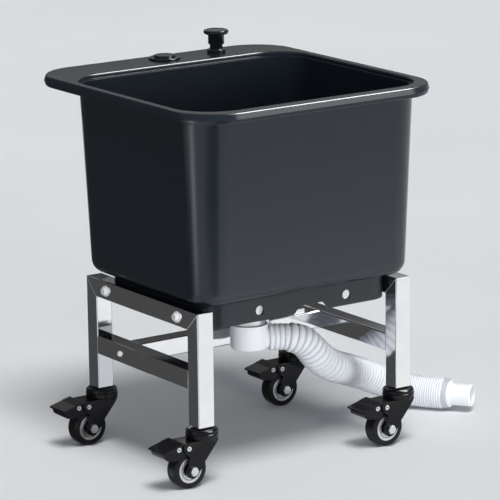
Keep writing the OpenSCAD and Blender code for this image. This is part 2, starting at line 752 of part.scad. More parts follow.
// Sheath of the lift cable, from the bush behind the basin and under the foot ring to the drain's pipe
module lift_cable() {
    top = rim_z - bush_tail;
    run = norm([knob_x, deck_y]);
    level = run - cable_bend_r - pipe_r;
    color(black_colour) at_stand() translate([knob_x, deck_y, 0]) {
        difference() {
            union() {
                translate([0, 0, cable_z + cable_bend_r]) cylinder(d = cable_d, h = top - cable_z - cable_bend_r);
                translate([0, 0, top - 36]) cylinder(d = rod_d + 6, h = 36);
            }
            translate([0, 0, top - 32]) cylinder(d = rod_d + 2 * run_gap, h = 32 + cut);
        }
        rotate([0, 0, atan2(-deck_y, -knob_x)]) {
            translate([cable_bend_r, 0, cable_z + cable_bend_r]) rotate([90, 0, 180])
                rotate_extrude(angle = -90) translate([cable_bend_r, 0]) circle(d = cable_d);
            translate([cable_bend_r, 0, cable_z]) rotate([0, 90, 0]) cylinder(d = cable_d, h = level);
            translate([cable_bend_r + level - 14, 0, cable_z]) rotate([0, 90, 0]) cylinder(d = cable_d + 4, h = 14);
        }
    }
}

// Drain body: flange in the basin, pipe down into the cup, and the spider that guides the plug
module drain_flange() {
    color(bright_colour) at_stand() union() {
        rotate_extrude() polygon([[pipe_in_r, pipe_bottom], [pipe_r, pipe_bottom], [pipe_r, floor_z],
            [drain_flange_d / 2, floor_z], [drain_flange_d / 2 - 1, floor_z + 1], [pipe_r, flange_top],
            [pipe_in_r + 1, flange_top], [pipe_in_r, flange_top - 1]]);
        difference() {
            union() {
                translate([0, 0, guide_z]) cylinder(d = 12, h = 8);
                for (a = [0, 90]) rotate([0, 0, a + 45]) translate([0, 0, guide_z + 2])
                    cube([2 * pipe_in_r + 1, 2.4, 4], center = true);
            }
            translate([0, 0, guide_z - cut]) cylinder(d = rod_d + 2 * run_gap, h = 8 + 2 * cut);
        }
    }
}

// Rubber washer between the tub's floor and the drain nut
module drain_gasket() {
    color(rubber_colour) at_stand() translate([0, 0, floor_low - gasket_t]) difference() {
        cylinder(d = drain_flange_d - 4, h = gasket_t);
        translate([0, 0, -cut]) cylinder(d = drain_pipe_d + 2 * seat_gap, h = gasket_t + 2 * cut);
    }
}

// Black nut with grip ribs that clamps the drain under the floor
module drain_nut() {
    outer = drain_pipe_d / 2 + 8;
    color(black_colour) at_stand() translate([0, 0, floor_low - gasket_t - nut_h]) difference() {
        union() {
            cylinder(r = outer, h = nut_h);
            translate([0, 0, nut_h - 4]) cylinder(r = outer + 3, h = 4);
            for (a = [0 : 30 : 330]) rotate([0, 0, a]) translate([outer, 0, nut_h / 2 - 1])
                cube([3, 4, nut_h - 2], center = true);
        }
        translate([0, 0, -cut]) cylinder(d = drain_pipe_d + 2 * seat_gap, h = nut_h + 2 * cut);
    }
}

// Plug that lifts off the flange, on a stem in the spider's hole
module drain_plug() {
    seat = flange_top + knob_down + face_gap;
    color(bright_colour) at_stand() union() {
        rotate_extrude() polygon([[0, seat], [plug_d / 2 - 1, seat], [plug_d / 2, seat + 1],
            [plug_d / 2, seat + plug_t - 1.5], [plug_d / 2 - 1.5, seat + plug_t - 0.4],
            [plug_d / 4, seat + plug_t], [0, seat + plug_t]]);
        translate([0, 0, guide_z - 16]) cylinder(d = rod_d, h = seat + 1 - guide_z + 16);
    }
}

// Cup under the drain with its sideways outlet; its rim is open, with a small lug
module drain_cup() {
    wall_in_r = pipe_r + seat_gap;
    out_z = first[2];
    color(white_colour) at_stand() difference() {
        union() {
            rotate_extrude() polygon([[0, cup_z], [cup_d / 2 - 5, cup_z], [cup_d / 2 - 2, cup_z + 1],
                [cup_d / 2, cup_z + 4], [cup_d / 2, cup_top - 4], [cup_d / 2 + cup_lip, cup_top - 3],
                [cup_d / 2 + cup_lip, cup_top], [0, cup_top]]);
            rotate([0, 0, outlet_turn]) translate([0, 0, out_z]) rotate([0, 90, 0])
                cylinder(d = outlet_d, h = end_reach);
            rotate([0, 0, outlet_turn + 15]) translate([cup_d / 2 - 1, -3, cup_top - 6]) cube([4, 6, 8]);
        }
        translate([0, 0, cup_z + cup_floor_t]) cylinder(r = wall_in_r, h = cup_h + 2 * cut);
        rotate([0, 0, outlet_turn]) translate([0, 0, out_z]) rotate([0, 90, 0])
            cylinder(d = outlet_d - 2 * outlet_wall, h = end_reach + cut);
    }
}

// Ribbed hose as one skin: a ringed neck, wide ribs in the bend, then fine ribs down to the floor
module drain_hose() {
    plain = hose_end_d / 2;
    valley = hose_d / 2 - fine_depth;
    rings = floor(hose_end_len / neck_pitch);
    outer_at = concat([for (i = [0 : rings - 1]) each
        [[i * hose_end_len / rings, plain], [(i + 0.5) * hose_end_len / rings, plain + neck_ring_h]]],
        [for (i = [0 : len(ribs) - 2]) let (crest = crest_at(ribs[i]))
            each [[ribs[i], crest - depth_at(ribs[i])], [(ribs[i] + ribs[i + 1]) / 2, crest]]],
        [[ribs[len(ribs) - 1], valley], [hose_len, valley]]);
    bore_count = 44;
    inner_at = [for (i = [0 : bore_count]) [hose_len * (1 - i / bore_count), hose_bore_d / 2]];
    stations = concat(outer_at, inner_at);
    n = len(stations);
    m = hose_sides;
    points = [for (st = stations) each ring(st[0], st[1])];
    faces = [for (i = [0 : n - 1], k = [0 : m - 1]) let (j = (i + 1) % n, l = (k + 1) % m)
        each [[i * m + k, j * m + k, i * m + l], [i * m + l, j * m + k, j * m + l]]];
    color(white_colour) polyhedron(points = points, faces = faces);
}

// Cuff on the hose's free end: a collar against the hose and a plain barrel with a round lip
module hose_cuff() {
    bore_r = cuff_d / 2 - cuff_wall;
    color(white_colour) translate(last) rotate([0, 0, end_turn]) rotate([0, 90, 0]) difference() {
        union() {
            cylinder(d = cuff_collar_d, h = cuff_collar_t);
            cylinder(d = cuff_d, h = cuff_len - 2);
            translate([0, 0, cuff_len - 2]) cylinder(d1 = cuff_d, d2 = cuff_d - 3, h = 2);
        }
        translate([0, 0, -cut]) cylinder(r = bore_r, h = cuff_len + 2 * cut);
    }
}

// Swivel head of a caster: the raceway cup and cap that stay with the leg
module swivel_head(sx, sy) {
    r = swivel_d / 2;
    mid = head_z + (head_top - head_z) * 0.55;
    color(black_colour) at_caster(sx, sy) difference() {
        rotate_extrude() polygon([[0, head_z], [r - 1.2, head_z], [r, head_z + 1], [r, mid - 0.6], [r - 0.9, mid],
            [r - 0.9, mid + 0.8], [r - 0.3, mid + 1.2], [r - 0.6, head_top - 2.4], [r - 2.4, head_top - 0.6],
            [r - 5, head_top], [0, head_top]]);
        translate([0, 0, head_z - cut]) cylinder(d = stem_d + 2 * seat_gap, h = head_top - head_z + 2 * cut);
    }
}

module swivel_head_front_left() {
    swivel_head(-1, -1);
}

module swivel_head_front_right() {
    swivel_head(1, -1);
}

module swivel_head_rear_left() {
    swivel_head(-1, 1);
}

module swivel_head_rear_right() {
    swivel_head(1, 1);
}

// Outline of the fork's side plate, x from the swivel's axis and y up
module fork_outline() {
    polygon([[15.6, crown_top], [12.5, crown_z - 3], [-trail + 18.4, wheel_r + 9.4], [-trail + 9.6, wheel_r - 4],
        [-trail, wheel_r], [-trail - 9.6, wheel_r], [-trail - 7, wheel_r + 8], [-trail - 4.4, wheel_r + 13],
        [-trail - 4.4, crown_z - 15.5], [-trail - 11, crown_z - 10.5], [-trail - 13.7, crown_z - 3],
        [-trail - 13.7, crown_z + 0.5], [-trail - 11, crown_top]]);
    translate([-trail, wheel_r]) circle(r = 10);
}

// Fork of a caster: two side plates under a crown that turns on the stem
module fork(sx, sy) {
    color(black_colour) at_caster(sx, sy) difference() {
        union() {
            for (y = [fork_w / 2, -fork_in]) translate([0, y, 0]) rotate([90, 0, 0])
                linear_extrude(height = fork_t) fork_outline();
            translate([0, 0, crown_z]) linear_extrude(height = crown_t) {
                translate([-trail - 11, -fork_w / 2]) square([trail + 22, fork_w]);
                circle(d = swivel_d - 5);
            }
        }
        translate([0, 0, crown_z - cut]) cylinder(d = stem_d + 2 * run_gap, h = crown_t + 2 * cut);
        translate([-trail, 0, wheel_r]) rotate([90, 0, 0])
            cylinder(d = axle_d + 2 * seat_gap, h = fork_w + 2 * cut, center = true);
        translate([pivot[0], 0, pivot[1]]) rotate([90, 0, 0])
            cylinder(d = rivet_d + 2 * seat_gap, h = fork_w + 2 * cut, center = true);
    }
}

module fork_front_left() {
    fork(-1, -1);
}

module fork_front_right() {
    fork(1, -1);
}

module fork_rear_left() {
    fork(-1, 1);
}

module fork_rear_right() {
    fork(1, 1);
}

// Axle bolt of a wheel, with its hex head at the front and its nut at the back
module axle(sx, sy) {
    color(bright_colour) at_caster(sx, sy) translate([-trail, 0, wheel_r]) rotate([90, 0, 0]) {
        cylinder(d = axle_d, h = fork_w + 2 * axle_head_h - 1, center = true);
        translate([0, 0, fork_w / 2]) cylinder(d = axle_head_d, h = axle_head_h, $fn = 6);
        translate([0, 0, -fork_w / 2 - axle_head_h + 1]) cylinder(d = axle_head_d, h = axle_head_h - 1, $fn = 6);
    }
}

module axle_front_left() {
    axle(-1, -1);
}

module axle_front_right() {
    axle(1, -1);
}

module axle_rear_left() {
    axle(-1, 1);
}

module axle_rear_right() {
    axle(1, 1);
}

// Hollow rivet across the caster at a point of its side view
module rivet_across(place) {
    translate([place[0], 0, place[1]]) rotate([90, 0, 0]) difference() {
        union() {
            cylinder(d = rivet_d, h = fork_w, center = true);
            for (z = [-fork_w / 2 - rivet_head_t, fork_w / 2]) translate([0, 0, z])
                cylinder(d = rivet_head_d, h = rivet_head_t);
        }
        for (z = [-fork_w / 2 - rivet_head_t - cut, fork_w / 2 - 0.5]) translate([0, 0, z])
            cylinder(d = rivet_d * 0.6, h = rivet_head_t + cut + 0.5);
    }
}

// Rivet through the fork that the brake pedal turns on
module pivot_rivet(sx, sy) {
    color(bright_colour) at_caster(sx, sy) rivet_across(pivot);
}

module pivot_rivet_front_left() {
    pivot_rivet(-1, -1);
}

module pivot_rivet_front_right() {
    pivot_rivet(1, -1);
}

module pivot_rivet_rear_left() {
    pivot_rivet(-1, 1);
}

module pivot_rivet_rear_right() {
    pivot_rivet(1, 1);
}

// Tyre of a wheel, with round shoulders
module tyre(sx, sy) {
    shoulder = 3;
    color(rubber_colour) at_caster(sx, sy) translate([-trail, 0, wheel_r]) rotate([90, 0, 0]) rotate_extrude() {
        translate([hub_d / 2 + seat_gap, -wheel_w / 2])
            square([wheel_r - shoulder - hub_d / 2 - seat_gap, wheel_w]);
        translate([wheel_r - shoulder - 0.5, shoulder - wheel_w / 2])
            square([shoulder + 0.5, wheel_w - 2 * shoulder]);
        for (s = [-1, 1]) translate([wheel_r - shoulder, s * (wheel_w / 2 - shoulder)]) circle(r = shoulder);
    }
}

module tyre_front_left() {
    tyre(-1, -1);
}

module tyre_front_right() {
    tyre(1, -1);
}

module tyre_rear_left() {
    tyre(-1, 1);
}

module tyre_rear_right() {
    tyre(1, 1);
}

// Hub of a wheel: a boss on the axle, a sunk middle and a raised ring with two grooves on each side
module hub(sx, sy) {
    half = wheel_w / 2 - 0.6;
    sink = 3;
    boss = fork_in - face_gap;
    ring_w = (hub_d - hub_mid_d) / 2;
    color(black_colour) at_caster(sx, sy) translate([-trail, 0, wheel_r]) rotate([90, 0, 0]) difference() {
        union() {
            cylinder(d = hub_d, h = 2 * half, center = true);
            cylinder(d = axle_d + 5, h = 2 * boss, center = true);
        }
        for (s = [-1, 1]) {
            translate([0, 0, s * half]) difference() {
                cylinder(d = hub_mid_d, h = 2 * sink, center = true);
                cylinder(d = axle_d + 5, h = 2 * sink + cut, center = true);
            }
            for (k = [1, 2]) translate([0, 0, s * half]) difference() {
                cylinder(d = hub_mid_d + ring_w * 2 * k / 3 + 0.8, h = 1, center = true);
                cylinder(d = hub_mid_d + ring_w * 2 * k / 3 - 0.8, h = 3, center = true);
            }
        }
        cylinder(d = axle_d + 2 * run_gap, h = fork_w, center = true);
    }
}

module hub_front_left() {
    hub(-1, -1);
}

module hub_front_right() {
    hub(1, -1);
}

module hub_rear_left() {
    hub(-1, 1);
}

module hub_rear_right() {
    hub(1, 1);
}

// Side view of the pedal's plate, from its tip up towards the fork
module pedal_plate_outline() {
    root_x = -trail - 15;
    root_z = crown_z + 2.6;
    tip_z = crown_z - 5.6;
    slope = (root_z - tip_z) / (pedal_reach + root_x);
    polygon([[-pedal_reach, tip_z], [root_x, root_z], [root_x, root_z + pedal_t],
        [-pedal_reach + 0.8, tip_z + pedal_t], [-pedal_reach, tip_z + pedal_t - 0.8]]);
    for (x = [3, 7, 11]) translate([root_x - x, root_z + pedal_t - x * slope]) circle(r = 0.9);
}

// Side view of the brake arm between the fork's plates, down to the shoe on the tyre
module pedal_arm_outline() {
    polygon([[-trail - 42.5, crown_z - 4.2], [-trail - 44, crown_z - 8], [-trail - 43, crown_z - 12],
        [-trail - 39.5, crown_z - 15], [-trail - 34, crown_z - 16.4], [-trail - 28, crown_z - 17.5],
        [-trail - 16, crown_z - 20], [-trail - 9, crown_z - 9], [pivot[0] + 2, pivot[1] - 2.6],
        [pivot[0] + 2, crown_z - 1.6], [-trail - 13.5, crown_z - 1.6], [-trail - 15.5, crown_z + 3.5]]);
    translate(pivot) circle(r = rivet_d / 2 + 1.5);
}

// Wide part of the brake arm outside the fork, as wide as the fork
module pedal_cheek_outline() {
    polygon([[-trail - 42.5, crown_z - 4.2], [-trail - 44, crown_z - 8], [-trail - 43, crown_z - 12],
        [-trail - 39.5, crown_z - 15], [-trail - 34, crown_z - 16.4], [-trail - 28, crown_z - 16.8],
        [-trail - 21, crown_z - 15], [-trail - 16, crown_z - 9], [-trail - 16, crown_z + 3]]);
}

// Brake pedal, shown pressed: the shoe lies on the tyre and holds the wheel
module brake_pedal(sx, sy) {
    color(black_colour) at_caster(sx, sy) difference() {
        union() {
            translate([0, pedal_w / 2, 0]) rotate([90, 0, 0]) linear_extrude(height = pedal_w) pedal_plate_outline();
            translate([0, fork_in - face_gap, 0]) rotate([90, 0, 0])
                linear_extrude(height = 2 * (fork_in - face_gap)) pedal_arm_outline();
            translate([0, fork_w / 2, 0]) rotate([90, 0, 0]) linear_extrude(height = fork_w) pedal_cheek_outline();
        }
        translate([-trail, 0, wheel_r]) rotate([90, 0, 0])
            cylinder(r = wheel_r + face_gap, h = pedal_w, center = true, $fn = 96);
        translate([pivot[0], 0, pivot[1]]) rotate([90, 0, 0])
            cylinder(d = rivet_d + 2 * run_gap, h = pedal_w, center = true);
        translate([tip_rivet[0], 0, tip_rivet[1]]) rotate([90, 0, 0])
            cylinder(d = rivet_d + 2 * seat_gap, h = pedal_w, center = true);
    }
}

module brake_pedal_front_left() {
    brake_pedal(-1, -1);
}

module brake_pedal_front_right() {
    brake_pedal(1, -1);
}

module brake_pedal_rear_left() {
    brake_pedal(-1, 1);
}

module brake_pedal_rear_right() {
    brake_pedal(1, 1);
}

// Rivet that ties the brake arm's cheeks together
module pedal_rivet(sx, sy) {
    color(bright_colour) at_caster(sx, sy) rivet_across(tip_rivet);
}

module pedal_rivet_front_left() {
    pedal_rivet(-1, -1);
}

module pedal_rivet_front_right() {
    pedal_rivet(1, -1);
}

module pedal_rivet_rear_left() {
    pedal_rivet(-1, 1);
}

module pedal_rivet_rear_right() {
    pedal_rivet(1, 1);
}

tub();
leg_front_left();
leg_front_right();
leg_rear_left();
leg_rear_right();
upper_rail_left();
upper_rail_right();
lower_rail_left();
lower_rail_right();
crossbar();
tub_bolts();
tub_bolt_nuts();
crossbar_bolts();
leg_plugs();
caster_stems();
tap_hole_cover();
tap_hole_nut();
knob_bush();
knob_bush_nut();
pull_knob();
lift_cable();
drain_flange();
drain_gasket();
drain_nut();
drain_plug();
drain_cup();
drain_hose();
hose_cuff();
swivel_head_front_left();
swivel_head_front_right();
swivel_head_rear_left();
swivel_head_rear_right();
fork_front_left();
fork_front_right();
fork_rear_left();
fork_rear_right();
axle_front_left();
axle_front_right();
axle_rear_left();
axle_rear_right();
pivot_rivet_front_left();
pivot_rivet_front_right();
pivot_rivet_rear_left();
pivot_rivet_rear_right();
tyre_front_left();
tyre_front_right();
tyre_rear_left();
tyre_rear_right();
hub_front_left();
hub_front_right();
hub_rear_left();
hub_rear_right();
brake_pedal_front_left();
brake_pedal_front_right();
brake_pedal_rear_left();
brake_pedal_rear_right();
pedal_rivet_front_left();
pedal_rivet_front_right();
pedal_rivet_rear_left();
pedal_rivet_rear_right();
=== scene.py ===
import json
from math import cos, pi, radians, sin

import bmesh
import bpy
from mathutils import Euler, Matrix, Vector

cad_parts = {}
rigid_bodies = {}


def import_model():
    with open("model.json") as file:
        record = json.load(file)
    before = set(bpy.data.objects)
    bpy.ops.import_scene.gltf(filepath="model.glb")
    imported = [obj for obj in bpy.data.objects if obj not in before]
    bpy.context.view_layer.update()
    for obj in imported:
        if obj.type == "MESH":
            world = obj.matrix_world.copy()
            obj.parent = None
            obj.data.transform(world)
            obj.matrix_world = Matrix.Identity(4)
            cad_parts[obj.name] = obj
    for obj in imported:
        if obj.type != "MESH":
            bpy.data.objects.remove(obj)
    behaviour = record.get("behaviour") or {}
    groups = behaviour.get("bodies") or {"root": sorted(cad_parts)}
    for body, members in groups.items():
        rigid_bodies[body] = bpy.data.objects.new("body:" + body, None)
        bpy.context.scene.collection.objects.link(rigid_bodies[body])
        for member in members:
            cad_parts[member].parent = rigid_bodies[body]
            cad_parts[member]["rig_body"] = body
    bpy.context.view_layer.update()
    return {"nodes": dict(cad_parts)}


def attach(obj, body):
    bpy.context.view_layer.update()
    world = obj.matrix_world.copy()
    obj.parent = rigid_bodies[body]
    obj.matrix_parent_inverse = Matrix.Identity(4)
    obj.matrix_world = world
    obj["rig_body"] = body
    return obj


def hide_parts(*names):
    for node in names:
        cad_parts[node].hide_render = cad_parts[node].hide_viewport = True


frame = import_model()
nodes = frame["nodes"]

# The view: a long lens from the front left, a little above the rim, as the sink was photographed.
eye = Vector((-2.4291, -3.6087, 1.2962))
turn = Euler((radians(90 - 13.338), 0, radians(-34.358))).to_matrix().to_4x4()
roll = Matrix.Rotation(radians(-0.786), 4, "Z")
camera = bpy.data.objects.new("camera", bpy.data.cameras.new("camera"))
bpy.context.scene.collection.objects.link(camera)
camera.matrix_world = Matrix.Translation(eye) @ turn @ roll
camera.data.sensor_width = 36
camera.data.lens = 238.51
camera.data.clip_end = 60
bpy.context.scene.camera = camera
bpy.context.scene.view_settings.view_transform = "Standard"

# The floor that the sink stands on: one pale, plain, faintly uneven surface far larger than the view.
# It is painted matt, so it keeps a soft shadow and no mirror image.


class Signal:
    """An output of a finish's nodes; sums on it add Math nodes."""

    def __init__(self, finish, socket):
        self.finish = finish
        self.socket = socket

    def math(self, operation, first, second):
        return self.finish.node("ShaderNodeMath", {"operation": operation}, {0: first, 1: second})

    def __add__(self, other):
        return self.math("ADD", self, other)

    def __sub__(self, other):
        return self.math("SUBTRACT", self, other)

    def __rsub__(self, other):
        return self.math("SUBTRACT", other, self)

    def __mul__(self, other):
        return self.math("MULTIPLY", self, other)

    def __pow__(self, other):
        return self.math("POWER", self, other)

    def __abs__(self):
        return self.math("ABSOLUTE", self, 0)

    def between(self, low, high):
        """1 where the value lies between the two and 0 elsewhere."""
        return self.math("GREATER_THAN", self, low) * self.math("LESS_THAN", self, high)

    __radd__ = __add__
    __rmul__ = __mul__


class Finish:
    """A surface finish: one principled shader, its fixed values and what varies over the surface."""

    def __init__(self, name, **fixed):
        self.material = bpy.data.materials.new(name)
        self.material.use_nodes = True
        self.tree = self.material.node_tree
        self.shader = self.tree.nodes["Principled BSDF"]
        for socket, value in fixed.items():
            self.set(socket.replace("_", " ").title().replace("Ior", "IOR"), value)
        self.place = self.node("ShaderNodeTexCoord", output="Object")

    def fill(self, socket, value):
        if isinstance(value, Signal):
            self.tree.links.new(value.socket, socket)
        else:
            socket.default_value = value

    def set(self, socket, value):
        self.fill(self.shader.inputs[socket], value)

    def node(self, kind, settings=(), inputs=(), output=0):
        made = self.tree.nodes.new(kind)
        for name, value in dict(settings).items():
            setattr(made, name, value)
        for socket, value in dict(inputs).items():
            self.fill(made.inputs[socket], value)
        return Signal(self, made.outputs[output])

    def axes(self):
        """The place's x, y and z, in metres."""
        return [self.node("ShaderNodeSeparateXYZ", {}, {0: self.place}, k) for k in range(3)]

    def noise(self, size, detail=2, stretch=(1, 1, 1)):
        """Noise whose features are about size metres across, longer along an axis where stretch is below 1."""
        place = self.node("ShaderNodeMapping", {}, {"Vector": self.place, "Scale": stretch})
        return self.node("ShaderNodeTexNoise", {}, {"Vector": place, "Scale": 1 / size, "Detail": detail})

    def mix(self, factor, first, second):
        """A colour between two, each of them three channels or another mix."""
        first, second = (shade if isinstance(shade, Signal) else (*shade, 1) for shade in (first, second))
        return self.node("ShaderNodeMix", {"data_type": "RGBA"}, {0: factor, 6: first, 7: second}, 2)

    def bump(self, height, distance, strength=1):
        """Raises the surface by height, which is from 0 to 1, times distance in metres."""
        made = self.node("ShaderNodeBump", {}, {"Strength": strength, "Distance": distance, "Height": height})
        self.set("Normal", made)


FLOOR_SIZE = 40
floor_paint = Finish("pale_floor", Roughness=0.6, Specular_IOR_Level=0.0)
cloud = floor_paint.noise(0.6, 3)
floor_paint.set("Base Color", floor_paint.mix(cloud, (0.66, 0.67, 0.68), (0.72, 0.73, 0.74)))
bpy.ops.object.select_all(action="DESELECT")
bpy.ops.mesh.primitive_plane_add(size=FLOOR_SIZE)
floor = bpy.context.object
floor.name = "floor"
floor.data.materials.append(floor_paint.material)

# The light: a dim soft room, a broad soft key from the front, high up, and a low fill from the front
# that reaches under the tub. Boards that only gloss and steel see give these their contrast.
world = bpy.data.worlds.new("soft_room")
bpy.context.scene.world = world
world.use_nodes = True
background = world.node_tree.nodes["Background"]
background.inputs["Color"].default_value = (0.90, 0.94, 1.0, 1)
background.inputs["Strength"].default_value = 0.30


def soft_light(name, way, spread, strength):
    """A light that comes from far off in the direction way, spread over an angle in degrees."""
    light = bpy.data.lights.new(name, "SUN")
    light.angle = radians(spread)
    light.energy = strength
    made = bpy.data.objects.new(name, light)
    bpy.context.scene.collection.objects.link(made)
    made.rotation_euler = Vector(way).to_track_quat("Z", "Y").to_euler()
    made.visible_glossy = False


soft_light("key", (-0.12, -0.36, 0.92), 24, 2.3)
soft_light("fill", (-0.10, -1.0, 0.06), 20, 2.6)


def board(name, place, size, turn, shade):
    """A board of one shade beside the set that only reflections show."""
    paint = Finish(name, Base_Color=(0, 0, 0, 1), Roughness=1.0, Specular_IOR_Level=0.0)
    paint.set("Emission Color", (1, 1, 1, 1))
    paint.set("Emission Strength", shade)
    bpy.ops.mesh.primitive_plane_add(size=1, location=place, rotation=turn)
    made = bpy.context.object
    made.name = name
    made.scale = (*size, 1)
    made.data.materials.append(paint.material)
    made.visible_camera = False
    made.visible_diffuse = False
    made.visible_transmission = False
    made.visible_shadow = False


board("left_board", (-1.00, 0.60, 0.6), (1.9, 1.2), (radians(90), 0, radians(8)), 0.075)
board("low_board", (-0.70, 0.65, 0.004), (1.7, 1.3), (0, 0, 0), 0.075)
board("deck_board", (1.2, 2.2, 1.38), (4.4, 0.90), (radians(90), 0, 0), 0.37)
board("rail_board", (1.2, 2.2, 0.46), (4.4, 0.92), (radians(90), 0, 0), 0.05)
board("front_board", (-0.60, -1.7, 0.004), (0.9, 1.7), (0, 0, 0), 0.05)
board("leg_board", (0.42, -0.66, 0.004), (1.3, 0.68), (0, 0, 0), 1.05)
board("corner_strip", (-0.98, -0.22, 0.20), (0.20, 0.55), (radians(90), 0, radians(-90)), 2.6)
board("rear_strip", (-0.7, 1.8, 1.7), (1.4, 0.5), (radians(110), 0, 0), 0.6)
board("top_board", (1.5, -0.70, 2.7), (1.1, 1.8), (0, radians(30), 0), 26)
board("rim_board", (1.35, -2.0, 1.25), (1.4, 0.9), (radians(90), 0, radians(34)), 3.1)

# The side frames and the crossbar: square stainless tube polished like a mirror, mitred and welded at
# the upper corners, where the weld is ground to a fine dull line; the lower rails and the crossbar butt.
MIDDLE = Vector((0.017, -0.025, 0))
RAIL_TOP = 0.232
RAIL_END = 0.1355
TUBE = 0.025
WELD_W = 0.0008
TUBE_EDGE_R = 0.0008


def steel_tube(name, along):
    """Polished stainless tube; along is the scale of the grain on each axis, small on the tube's own axis."""
    steel = Finish(name, Metallic=1.0)
    grain = steel.noise(0.0008, 2, along)
    cloud = steel.noise(0.04, 2)
    y, z = steel.axes()[1:]
    off_mitre = abs((RAIL_TOP - z) - (RAIL_END - abs(y - MIDDLE.y)))
    weld = off_mitre.between(-1, WELD_W) * z.between(RAIL_TOP - TUBE - 0.001, 1)
    polish = steel.mix(cloud, (0.70, 0.71, 0.73), (0.82, 0.83, 0.85))
    steel.set("Base Color", steel.mix(weld, polish, (0.92, 0.92, 0.93)))
    steel.set("Roughness", 0.05 + 0.04 * grain + 0.03 * cloud + 0.55 * weld)
    steel.bump(grain, 0.00001, 0.15)
    return steel


upright_steel = steel_tube("polished_tube_upright", (1, 1, 0.02))
rail_steel = steel_tube("polished_tube_rail", (1, 0.02, 1))
bar_steel = steel_tube("polished_tube_bar", (0.02, 1, 1))


def only(piece):
    """Selects one object and nothing else."""
    bpy.ops.object.select_all(action="DESELECT")
    piece.select_set(True)
    bpy.context.view_layer.objects.active = piece


def rounded(node, width, finish, segments=2):
    """A merged copy of a CAD piece in its place, with the sharp edges rounded by width."""
    piece = bpy.data.objects.new(node + "_rounded", nodes[node].data.copy())
    bpy.context.scene.collection.objects.link(piece)
    only(piece)
    bpy.ops.object.mode_set(mode="EDIT")
    bpy.ops.mesh.select_all(action="SELECT")
    bpy.ops.mesh.remove_doubles(threshold=0.000004)
    bpy.ops.mesh.dissolve_limited(angle_limit=radians(1))
    bpy.ops.object.mode_set(mode="OBJECT")
    soft_edges(piece, width, segments)
    piece.data.materials.clear()
    piece.data.materials.append(finish.material)
    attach(piece, nodes[node]["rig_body"])
    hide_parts(node)
    return piece


def soft_edges(piece, width, segments):
    """Rounds the sharp edges of the one selected piece and keeps its flat faces flat in the light."""
    edge = piece.modifiers.new("edge", "BEVEL")
    edge.width = width
    edge.segments = segments
    edge.limit_method = "ANGLE"
    edge.angle_limit = radians(35)
    bpy.ops.object.modifier_apply(modifier="edge")
    bpy.ops.object.shade_smooth_by_angle(angle=radians(40))
    fair = piece.modifiers.new("fair", "WEIGHTED_NORMAL")
    fair.keep_sharp = True
    bpy.ops.object.modifier_apply(modifier="fair")


CORNERS = ("front_left", "front_right", "rear_left", "rear_right")
for corner in CORNERS:
    rounded("leg_" + corner, TUBE_EDGE_R, upright_steel)
for node in ("upper_rail_left", "upper_rail_right", "lower_rail_left", "lower_rail_right"):
    rounded(node, TUBE_EDGE_R, rail_steel)
rounded("crossbar", TUBE_EDGE_R, bar_steel)

# The screws of the stand: zinc-plated flange bolts, the hex nuts of the four that hold the tub, and the
# stems that carry the casters. They are cold-headed and turned, so every edge is a little round.
zinc = Finish("satin_zinc", Metallic=0.4)
worn = zinc.noise(0.002, 3)
zinc.set("Base Color", zinc.mix(worn, (0.80, 0.81, 0.83), (0.92, 0.92, 0.93)))
zinc.set("Roughness", 0.30 + 0.15 * worn)
zinc.bump(worn, 0.00003, 0.2)
for node in ("tub_bolts", "tub_bolt_nuts", "crossbar_bolts", "caster_stems"):
    rounded(node, 0.0003, zinc)

# The tub: one deep moulding in charcoal plastic with a faint mould grain. Its rim is turned down in two
# bands, the mouth has a round lip over a narrow ledge, and the walls lean in to a widely rounded floor.
charcoal = Finish("charcoal_moulding", Specular_IOR_Level=0.5)
grain = charcoal.noise(0.0009, 2)
patch = charcoal.noise(0.09, 3)
charcoal.set("Base Color", charcoal.mix(patch, (0.007, 0.011, 0.016), (0.010, 0.014, 0.020)))
charcoal.set("Roughness", 0.17 + 0.07 * patch + 0.04 * grain)
charcoal.bump(grain, 0.00003, 0.4)

# Half width, half depth, corner radius and middle of the outlines that the moulding follows
RIM = (0.198, 0.212, 0.065, 0.025)
MOUTH = (0.183, 0.165, 0.057, 0)
WALL = (0.1727, 0.1482, 0.039, 0)
DRAIN_HOLE = (0.0221, 0.0221, 0.022, 0)
FOOT = (0.1475, 0.125, 0.030, 0)
WALL_T = 0.0032
CORNER_STEPS = 12
RIM_TOP = 0.500
# Depths below the rim's top: the skirt, its upper band, the lid ledge inside and its underside
SKIRT_H = 0.014
BAND_H = 0.0085
LEDGE_H = 0.006
UNDER_LEDGE_H = 0.0092
# How far in the skirt's lower band and its inner face lie, and the radii of its edges and of the mouth's lip
BAND_STEP = 0.0015
SKIRT_IN = 0.0047
RIM_EDGE_R = 0.0035
SKIRT_EDGE_R = 0.0018
LIP_R = 0.003
# How far the walls open from the floor up to the ledge; the floor's height and the radius where a wall meets it
WALL_LEAN = 0.0105
FLOOR_Z = 0.238
FLOOR_R = 0.018
FOOT_LOW = 0.205


